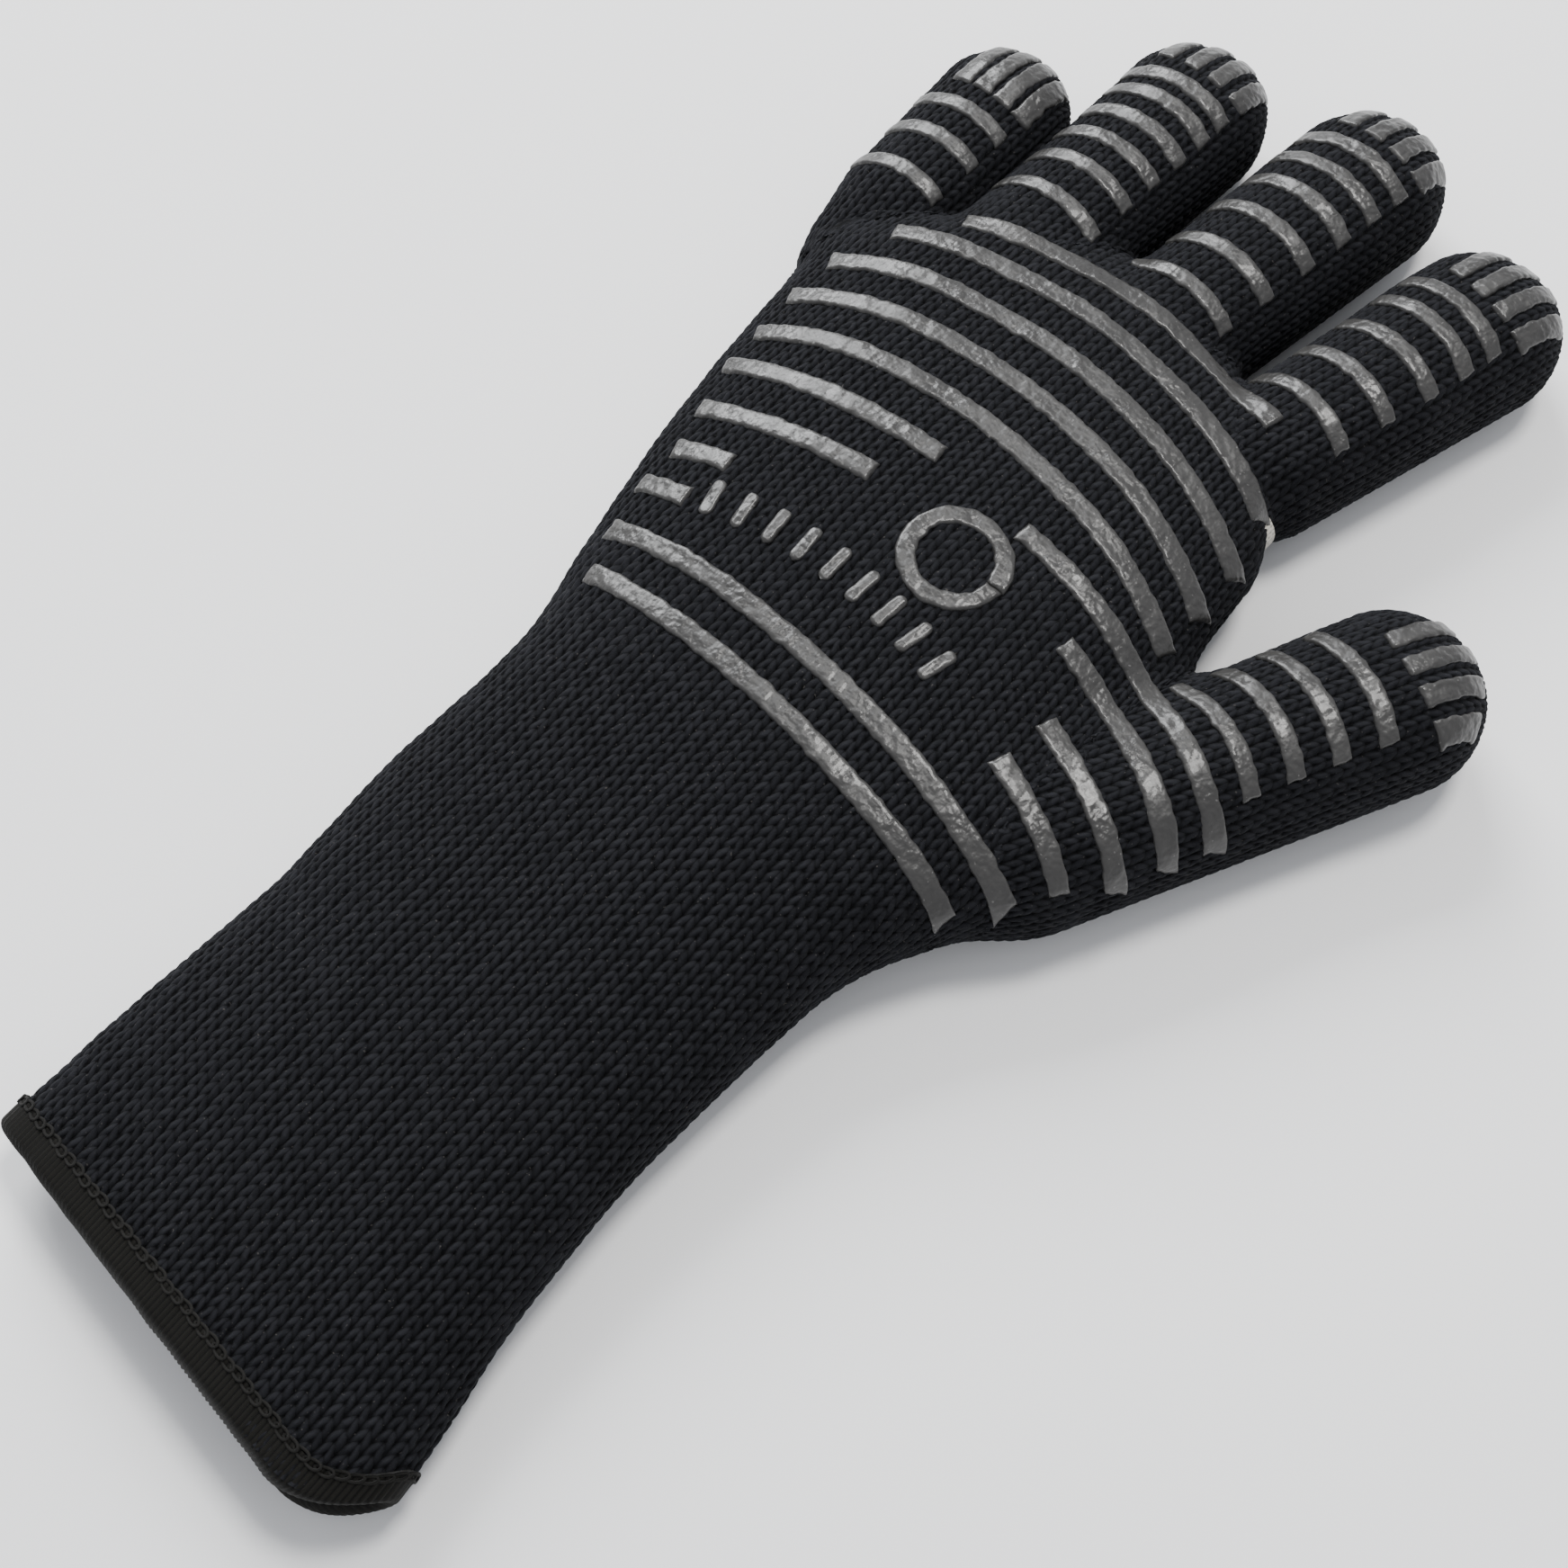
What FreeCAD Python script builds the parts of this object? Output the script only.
import FreeCAD, Part

import math
import os

# Heat resistant knitted glove for barbecue and fireplace work. A knitted outer glove holds a
# cotton lining, silicone grip strips are printed on the palm side, and a woven tape binds the
# cuff's mouth. The glove lies palm up, fingertips towards +Y, thumb towards +X.
# Plan positions below are in mm from the middle of the cuff's mouth: x across, y along.

Vector = FreeCAD.Vector

# ---- cloth thicknesses
KNIT = 2.4
AIR = 0.3
LINING = 1.8
PRINT = 0.8
TAPE = 0.9
THREAD = 0.9
WALL = KNIT + AIR + LINING

# ---- flexing
HINGE_GAP = 2.4
WRIST_Y = 132.0
WRIST_Z = 16.0
WRIST_GAP = 0.8
WRIST_FLEX = 40.0
WRIST_EXTEND = 30.0

# ---- sleeve of the cuff and palm: y, left x, right x, underside z, top z
SLEEVE = [
    (-14, -47.5, 50.0, 2.0, 19.0),
    (0, -48.0, 50.5, 2.0, 19.5),
    (12, -48.5, 50.5, 2.0, 21.0),
    (35, -47.2, 47.0, 0.0, 25.0),
    (70, -45.5, 45.0, -1.0, 28.0),
    (100, -46.0, 45.2, -1.0, 30.0),
    (126, -47.0, 46.5, -1.0, 32.0),
    (138, -47.6, 49.5, -1.0, 33.0),
    (150, -49.0, 57.0, -1.0, 34.0),
    (170, -53.0, 60.0, -1.0, 35.0),
    (195, -57.5, 58.0, -1.0, 35.0),
    (220, -61.5, 55.5, -1.0, 34.0),
    (245, -66.0, 55.5, -1.0, 31.5),
    (266, -69.5, 57.0, -1.0, 29.0),
]
SLEEVE_POWER = 2.5
CUFF_END = 9
HAND_START = 5

# ---- cloth that joins the three longer fingers below their webs, given like the sleeve
WEB = [
    (256, -42.0, 56.0, -1.0, 29.8),
    (275, -41.6, 58.0, -1.0, 28.0),
]

# ---- from the middle of the mouth to the middle of the glove's box
FRAME_X = 18.63
FRAME_Y = 173.15

# ---- the mouth runs slightly askew, further out on the thumb side
MOUTH_AT_MIDDLE = -0.5
MOUTH_SLOPE = -0.112
BINDING_WIDTH = 7.0
BINDING_LIP = 1.2
STITCH_ROW = 1.2

# ---- fingers: base, heading in degrees from +Y towards +X, length, half widths, top z,
# where they fold, the grip bands printed across them, and where the fingertip bars start;
# the thumb's root is rounded off inside the ball of the hand
FINGER_UNDER = -1.0
FINGER_POWER = 2.2
FINGERS = {
    "little": dict(base=(-56.6, 262.0), heading=-4.0, length=51.5, half_widths=(13.0, 13.25), top=24.5,
                   folds=(11.0, 29.0), bands=(5.3, 16.5, 25.8), bars=31.5, bar_pitch=5.2),
    "ring": dict(base=(-26.5, 266.0), heading=2.0, length=76.7, half_widths=(15.3, 16.4), top=27.5,
                 folds=(19.9, 37.4, 57.4), bands=(14.8, 24.9, 33.5, 41.3, 48.9, 54.9), bars=59.0,
                 bar_pitch=6.2),
    "middle": dict(base=(6.3, 266.0), heading=4.8, length=86.0, half_widths=(15.5, 17.0), top=27.5,
                   folds=(21.1, 43.9, 67.6), bands=(15.2, 26.8, 38.6, 48.8, 57.3, 65.0), bars=69.4,
                   bar_pitch=6.4),
    "index": dict(base=(40.5, 262.0), heading=10.8, length=77.4, half_widths=(16.0, 17.2), top=27.5,
                  folds=(18.5, 39.5, 54.6), bands=(12.6, 24.0, 34.8, 44.2, 51.9), bars=56.4,
                  bar_pitch=6.4),
    "thumb": dict(base=(49.3, 151.0), heading=25.5, length=118.0, half_widths=(15.0, 17.0), top=29.0,
                  folds=(53.5, 82.6), bands=(58.8, 68.2, 77.7, 87.6), bars=95.5, bar_pitch=6.6),
}
SEGMENT_NAMES = {2: ("lower", "tip"), 3: ("lower", "upper", "tip")}
ROOT_INSIDE_PALM = 14.0
ROOT_TAPER = 0.62
THUMB_ROOT_DOME = 18.0

# ---- grip print
STRIP_WIDTH = 4.6
BAND_WIDTH = 4.0
BAND_REACH = 0.74
BAR_WIDTH = 4.2
BARS_PER_TIP = 4
PRINT_FLOOR = 12.0
WRIST_ARCS = [
    ((-39.5, 151.9), (6.0, 151.9), (60.0, 142.5)),
    ((-43.8, 162.0), (6.0, 163.6), (66.5, 151.0)),
]
PALM_ARCS = [
    ((-53.5, 215.0), (1.0, 225.0), (53.5, 212.0)),
    ((-54.5, 226.5), (1.0, 237.0), (53.5, 223.0)),
    ((-54.0, 238.3), (1.0, 248.6), (53.5, 235.0)),
    ((-48.0, 251.6), (1.0, 260.0), (53.5, 247.0)),
    ((-39.0, 263.6), (0.0, 270.4), (38.5, 265.6)),
]
HEEL_ARCS = [
    ((-52.5, 205.0), (-28.6, 210.3), (-3.4, 212.8)),
    ((-49.0, 193.6), (-28.5, 198.2), (-10.7, 201.2)),
    ((-46.0, 183.0), (-40.0, 184.7), (-33.8, 185.8)),
    ((-46.0, 173.4), (-40.0, 174.4), (-35.1, 175.1)),
]
THUMB_SIDE_ARCS = [
    ((18.2, 210.6), (53.8, 203.6), (85.0, 187.6)),
    ((39.0, 197.8), (62.0, 190.4), (80.5, 178.8)),
    ((46.4, 183.2), (60.5, 178.0), (76.0, 169.4)),
    ((44.6, 171.5), (58.0, 166.5), (71.0, 159.6)),
]
PILL_ROW = ((-31.0, 177.8), (-3.0, 181.0), (25.0, 177.4))
PILLS = 9
PILL_WIDTH = 2.8
PILL_LENGTH = 8.6
RING_CENTRE = (13.2, 197.0)
RING_OUTSIDE = 11.4
RING_INSIDE = 7.4

SIDES = 16
SLEEVE_SIDES = 28
FAR = 400.0


def rounded_points(centre, heading, half_width, low, high, power, sides):
    """Points around a rounded outline that stands across the heading."""
    angle = math.radians(heading)
    middle = (low + high) / 2
    half_height = (high - low) / 2
    points = []
    for i in range(sides):
        turn = 2 * math.pi * i / sides
        u = math.copysign(abs(math.cos(turn)) ** (2 / power), math.cos(turn)) * half_width
        w = math.copysign(abs(math.sin(turn)) ** (2 / power), math.sin(turn)) * half_height
        points.append(Vector(centre[0] + u * math.cos(angle), centre[1] - u * math.sin(angle), middle + w))
    return points


def outline(centre, heading, half_width, low, high, power):
    """Smooth closed wire around a finger."""
    curve = Part.BSplineCurve()
    curve.interpolate(Points=rounded_points(centre, heading, half_width, low, high, power, SIDES),
                      PeriodicFlag=True)
    return Part.Wire(curve.toShape())


def sleeve_outline(centre, half_width, low, high):
    """Closed wire around the cuff or palm, in short straight runs."""
    points = rounded_points(centre, 0.0, half_width, low, high, SLEEVE_POWER, SLEEVE_SIDES)
    return Part.makePolygon(points + points[:1])


def inset_heights(low, high, inset):
    """Underside and top of a skin that lies inset inside the knit's outer face."""
    if inset <= 0:
        return low + inset, high - inset
    return max(low, 0.0) + inset, high - inset


def above_ground(shape):
    """The glove is flat where it lies on the ground."""
    ground = Part.makeBox(2 * FAR, 2 * FAR, FAR, Vector(-FAR, -FAR, 0))
    return shape.common(ground)


def sleeve(stations, inset):
    """Solid inside the cuff's or palm's skin, at a depth below the outer face."""
    wires = []
    for y, left, right, low, high in stations:
        bottom, top = inset_heights(low, high, inset)
        half_width = (right - left) / 2 - inset
        wires.append(sleeve_outline(((left + right) / 2, y), half_width, bottom, top))
    return above_ground(Part.makeLoft(wires, True, True))


def finger(name, inset):
    """Solid inside one finger's skin, rounded at the fingertip."""
    f = FINGERS[name]
    angle = math.radians(f["heading"])
    wide_root, wide_tip = f["half_widths"]
    dome = wide_tip
    straight = f["length"] - dome
    stations = []
    if name == "thumb":
        for part_way in (0.98, 0.85, 0.6, 0.3):
            shrink = math.sqrt(1 - part_way ** 2)
            stations.append((THUMB_ROOT_DOME - (THUMB_ROOT_DOME - inset) * part_way, wide_root, shrink))
    stations.append((THUMB_ROOT_DOME if name == "thumb" else 0.0, wide_root, 1.0))
    stations.append((straight / 2, (wide_root + wide_tip) / 2, 1.0))
    stations.append((straight, wide_tip, 1.0))
    for part_way in (0.35, 0.6, 0.8, 0.93, 0.995):
        shrink = math.sqrt(1 - part_way ** 2)
        stations.append((straight + (dome - inset) * part_way, wide_tip, shrink))
    bottom, top = inset_heights(FINGER_UNDER, f["top"], inset)
    middle = (bottom + top) / 2
    half_height = (top - bottom) / 2
    wires = []
    for along, half_width, shrink in stations:
        centre = (f["base"][0] + along * math.sin(angle), f["base"][1] + along * math.cos(angle))
        wires.append(outline(centre, f["heading"], (half_width - inset) * shrink,
                             middle - half_height * shrink, middle + half_height * shrink, FINGER_POWER))
    return above_ground(Part.makeLoft(wires, True, True))


def slab(name, start, end):
    """Everything between two distances along a finger."""
    f = FINGERS[name]
    box = Part.makeBox(2 * FAR, end - start, FAR, Vector(-FAR, start, -FAR / 2))
    box.rotate(Vector(0, 0, 0), Vector(0, 0, 1), -f["heading"])
    box.translate(Vector(f["base"][0], f["base"][1], 0))
    return box


def corridor(name, start, end):
    """A slab no wider than its own finger, so that it can't reach the neighbours."""
    f = FINGERS[name]
    half_width = max(f["half_widths"]) + 3
    box = Part.makeBox(2 * half_width, end - start, FAR, Vector(-half_width, start, -FAR / 2))
    box.rotate(Vector(0, 0, 0), Vector(0, 0, 1), -f["heading"])
    box.translate(Vector(f["base"][0], f["base"][1], 0))
    return box


def mouth_band(start, end):
    """Everything between two distances from the cuff's slanted mouth."""
    corners = []
    for x, offset in ((-FAR, start), (FAR, start), (FAR, end), (-FAR, end)):
        corners.append(Vector(x, MOUTH_AT_MIDDLE + MOUTH_SLOPE * x + offset, -FAR / 2))
    face = Part.Face(Part.makePolygon(corners + corners[:1]))
    return face.extrude(Vector(0, 0, FAR))


def wrist_wedge():
    """Room for the cuff to fold both ways about the wrist's axis."""
    above = FAR * math.tan(math.radians(WRIST_FLEX / 2 + 1))
    below = FAR * math.tan(math.radians(WRIST_EXTEND / 2 + 1))
    profile = [(WRIST_GAP, 0), (WRIST_GAP + above, FAR), (-WRIST_GAP - above, FAR), (-WRIST_GAP, 0),
               (-WRIST_GAP - below, -FAR), (WRIST_GAP + below, -FAR)]
    corners = [Vector(-FAR, WRIST_Y + y, WRIST_Z + z) for y, z in profile]
    face = Part.Face(Part.makePolygon(corners + corners[:1]))
    return face.extrude(Vector(2 * FAR, 0, 0))


def beyond_wrist(towards_fingers):
    """The half space of the hand, or of the cuff, without the wrist's wedge."""
    y = WRIST_Y if towards_fingers else WRIST_Y - FAR
    half = Part.makeBox(2 * FAR, FAR, 2 * FAR, Vector(-FAR, y, -FAR))
    return half.cut(wrist_wedge())


def cuff_depth(inset):
    """Cuff's solid at a depth, from below the mouth to past the wrist."""
    return sleeve(SLEEVE[:CUFF_END], inset).common(beyond_wrist(False))


def ended(stations, inset):
    """The same stations with the closed far end moved in by the depth."""
    y, left, right, low, high = stations[-1]
    return list(stations[:-1]) + [(y - max(inset, 0), left, right, low, high)]


def hand_depth(inset):
    """Palm, thumb root and finger roots in one solid, at a depth below the outer face."""
    solid = sleeve(ended(SLEEVE[HAND_START:], inset), inset)
    solid = solid.fuse(sleeve(ended(WEB, inset), inset))
    for name, f in FINGERS.items():
        solid = solid.fuse(finger(name, inset).common(corridor(name, -1.0, f["folds"][0] - HINGE_GAP / 2)))
        if name != "thumb":
            solid = solid.fuse(root_inside_palm(name, inset))
    return solid.common(beyond_wrist(True))


def root_inside_palm(name, inset):
    """A finger's root runs back into the palm, narrowing, so that the hand can reach its hollow."""
    f = FINGERS[name]
    angle = math.radians(f["heading"])
    bottom, top = inset_heights(FINGER_UNDER, f["top"], inset)
    middle = (bottom + top) / 2
    wires = []
    for along, shrink in ((-ROOT_INSIDE_PALM, ROOT_TAPER), (0.0, 1.0)):
        centre = (f["base"][0] + along * math.sin(angle), f["base"][1] + along * math.cos(angle))
        half_height = (top - bottom) / 2 * shrink
        wires.append(outline(centre, f["heading"], (f["half_widths"][0] - inset) * shrink,
                             middle - half_height, middle + half_height, FINGER_POWER))
    return above_ground(Part.makeLoft(wires, True, True))


def segment(name, number, inset):
    """One finger segment's solid between two folds, at a depth below the outer face."""
    f = FINGERS[name]
    ends = list(f["folds"]) + [FAR]
    start = ends[number] + HINGE_GAP / 2
    end = ends[number + 1] - HINGE_GAP / 2
    return finger(name, inset).common(slab(name, start, end))


def prism(wire_edges):
    """Upright prism over a closed plan outline, above the glove's edge."""
    face = Part.Face(Part.Wire(wire_edges))
    return face.extrude(Vector(0, 0, FAR))


def arc_strip(start, through, end, width):
    """Printed strip that follows an arc through three plan points."""
    points = [Vector(x, y, PRINT_FLOOR) for x, y in (start, through, end)]
    centre = Part.Arc(*points).toShape().Curve.Center

    def moved(point, offset):
        outwards = point - centre
        return point + outwards * (offset / outwards.Length)

    outer = [moved(p, width / 2) for p in points]
    inner = [moved(p, -width / 2) for p in points]
    return prism([Part.Arc(*outer).toShape(), Part.makeLine(outer[2], inner[2]),
                  Part.Arc(*reversed(inner)).toShape(), Part.makeLine(inner[0], outer[0])])


def finger_block(name, along, across, length, width, floor):
    """Upright block over a finger: its middle along and across the finger's own line."""
    f = FINGERS[name]
    box = Part.makeBox(width, length, FAR, Vector(across - width / 2, along - length / 2, floor))
    box.rotate(Vector(0, 0, 0), Vector(0, 0, 1), -f["heading"])
    box.translate(Vector(f["base"][0], f["base"][1], 0))
    return box


def pill(centre, heading):
    """Short upright grip bar with round ends."""
    half = (PILL_LENGTH - PILL_WIDTH) / 2
    r = PILL_WIDTH / 2
    spots = [(-r, -half), (-r, half), (0, half + r), (r, half), (r, -half), (0, -half - r)]
    angle = math.radians(heading)
    turned = []
    for u, v in spots:
        turned.append(Vector(centre[0] + u * math.cos(angle) + v * math.sin(angle),
                             centre[1] - u * math.sin(angle) + v * math.cos(angle), PRINT_FLOOR))
    left_low, left_high, top, right_high, right_low, bottom = turned
    return prism([Part.makeLine(left_low, left_high), Part.Arc(left_high, top, right_high).toShape(),
                  Part.makeLine(right_high, right_low), Part.Arc(right_low, bottom, left_low).toShape()])


def grip_pills():
    """A row of short bars along an arc across the heel of the hand."""
    edge = Part.Arc(*[Vector(x, y, 0) for x, y in PILL_ROW]).toShape()
    bars = []
    for spot in edge.discretize(Number=PILLS):
        outwards = spot - edge.Curve.Center
        bars.append(pill((spot.x, spot.y), math.degrees(math.atan2(outwards.x, outwards.y))))
    return bars


def grip_ring():
    """Plain round ring in the middle of the palm."""
    middle = Vector(RING_CENTRE[0], RING_CENTRE[1], PRINT_FLOOR)
    return Part.makeCylinder(RING_OUTSIDE, FAR, middle).cut(Part.makeCylinder(RING_INSIDE, FAR, middle))


def printed(skin, prisms):
    """The printed film: the skin's pieces that lie over the plan outlines."""
    pieces = []
    for shape in prisms:
        pieces.extend(s for s in skin.common(shape).Solids if s.Volume > 1.0)
    return Part.makeCompound(pieces)


def finger_bands(name, low_end, high_end):
    """Bands across a finger whose middles lie between two distances along it."""
    f = FINGERS[name]
    width = 2 * BAND_REACH * max(f["half_widths"])
    return [finger_block(name, along, 0.0, BAND_WIDTH, width, PRINT_FLOOR)
            for along in f["bands"] if low_end < along < high_end]


def fingertip_bars(name):
    """Bars that run along the finger and over its tip."""
    f = FINGERS[name]
    length = f["length"] - f["bars"] + 5
    shapes = []
    for i in range(BARS_PER_TIP):
        across = (i - (BARS_PER_TIP - 1) / 2) * f["bar_pitch"]
        shapes.append(finger_block(name, f["bars"] + length / 2, across, length, BAR_WIDTH, PRINT_FLOOR))
    return shapes


def build_cuff():
    """Knitted cuff with its lining, binding tape and chain stitch."""
    outside = cuff_depth(0.0)
    under_tape = mouth_band(BINDING_LIP, FAR)
    nodes = {}
    nodes["cuff_knit"] = outside.cut(cuff_depth(KNIT)).common(under_tape)
    nodes["cuff_lining"] = cuff_depth(KNIT + AIR).cut(cuff_depth(WALL)).common(under_tape)
    cloth = outside.cut(cuff_depth(WALL)).common(under_tape)
    tape = cuff_depth(-TAPE).cut(cuff_depth(WALL + TAPE)).common(mouth_band(0.0, BINDING_WIDTH))
    nodes["cuff_binding"] = tape.cut(cloth)
    row = mouth_band(BINDING_WIDTH - STITCH_ROW, BINDING_WIDTH)
    nodes["binding_stitch"] = cuff_depth(-TAPE - THREAD).cut(cuff_depth(-TAPE)).common(row)
    return nodes


def build_hand():
    """Knitted palm with its lining, the palm's print and the first band of each finger."""
    outside = hand_depth(0.0)
    skin = hand_depth(-PRINT).cut(outside)
    nodes = {}
    nodes["hand_knit"] = outside.cut(hand_depth(KNIT))
    nodes["hand_lining"] = hand_depth(KNIT + AIR).cut(hand_depth(WALL))
    groups = {"wrist_strips": WRIST_ARCS, "palm_strips": PALM_ARCS, "heel_strips": HEEL_ARCS,
              "thumb_side_strips": THUMB_SIDE_ARCS}
    for node, arcs in groups.items():
        nodes[node] = printed(skin, [arc_strip(*arc, STRIP_WIDTH) for arc in arcs])
    nodes["grip_pills"] = printed(skin, grip_pills())
    nodes["grip_ring"] = printed(skin, [grip_ring()])
    roots = []
    for name, f in FINGERS.items():
        roots.extend(finger_bands(name, 0.0, f["folds"][0]))
    nodes["finger_root_strips"] = printed(skin, roots)
    return nodes


def build_finger(name):
    """Segments of one finger: knit, lining and print for each."""
    f = FINGERS[name]
    ends = list(f["folds"]) + [f["length"]]
    nodes = {}
    for number, part_name in enumerate(SEGMENT_NAMES[len(f["folds"])]):
        label = name + "_" + part_name
        outside = segment(name, number, 0.0)
        nodes[label + "_knit"] = outside.cut(segment(name, number, KNIT))
        nodes[label + "_lining"] = segment(name, number, KNIT + AIR).cut(segment(name, number, WALL))
        prisms = finger_bands(name, ends[number], ends[number + 1])
        if part_name == "tip":
            prisms.extend(fingertip_bars(name))
        nodes[label + "_strips"] = printed(segment(name, number, -PRINT).cut(outside), prisms)
    return nodes


def main():
    nodes = {}
    nodes.update(build_cuff())
    nodes.update(build_hand())
    for name in FINGERS:
        nodes.update(build_finger(name))
    os.makedirs("parts", exist_ok=True)
    for node, shape in nodes.items():
        shape.translate(Vector(-FRAME_X, -FRAME_Y, 0))
        shape.exportStep("parts/" + node + ".step")
        print("%-22s %2d solids %9.1f mm3 %s" % (node, len(shape.Solids), shape.Volume, shape.isValid()))


main()
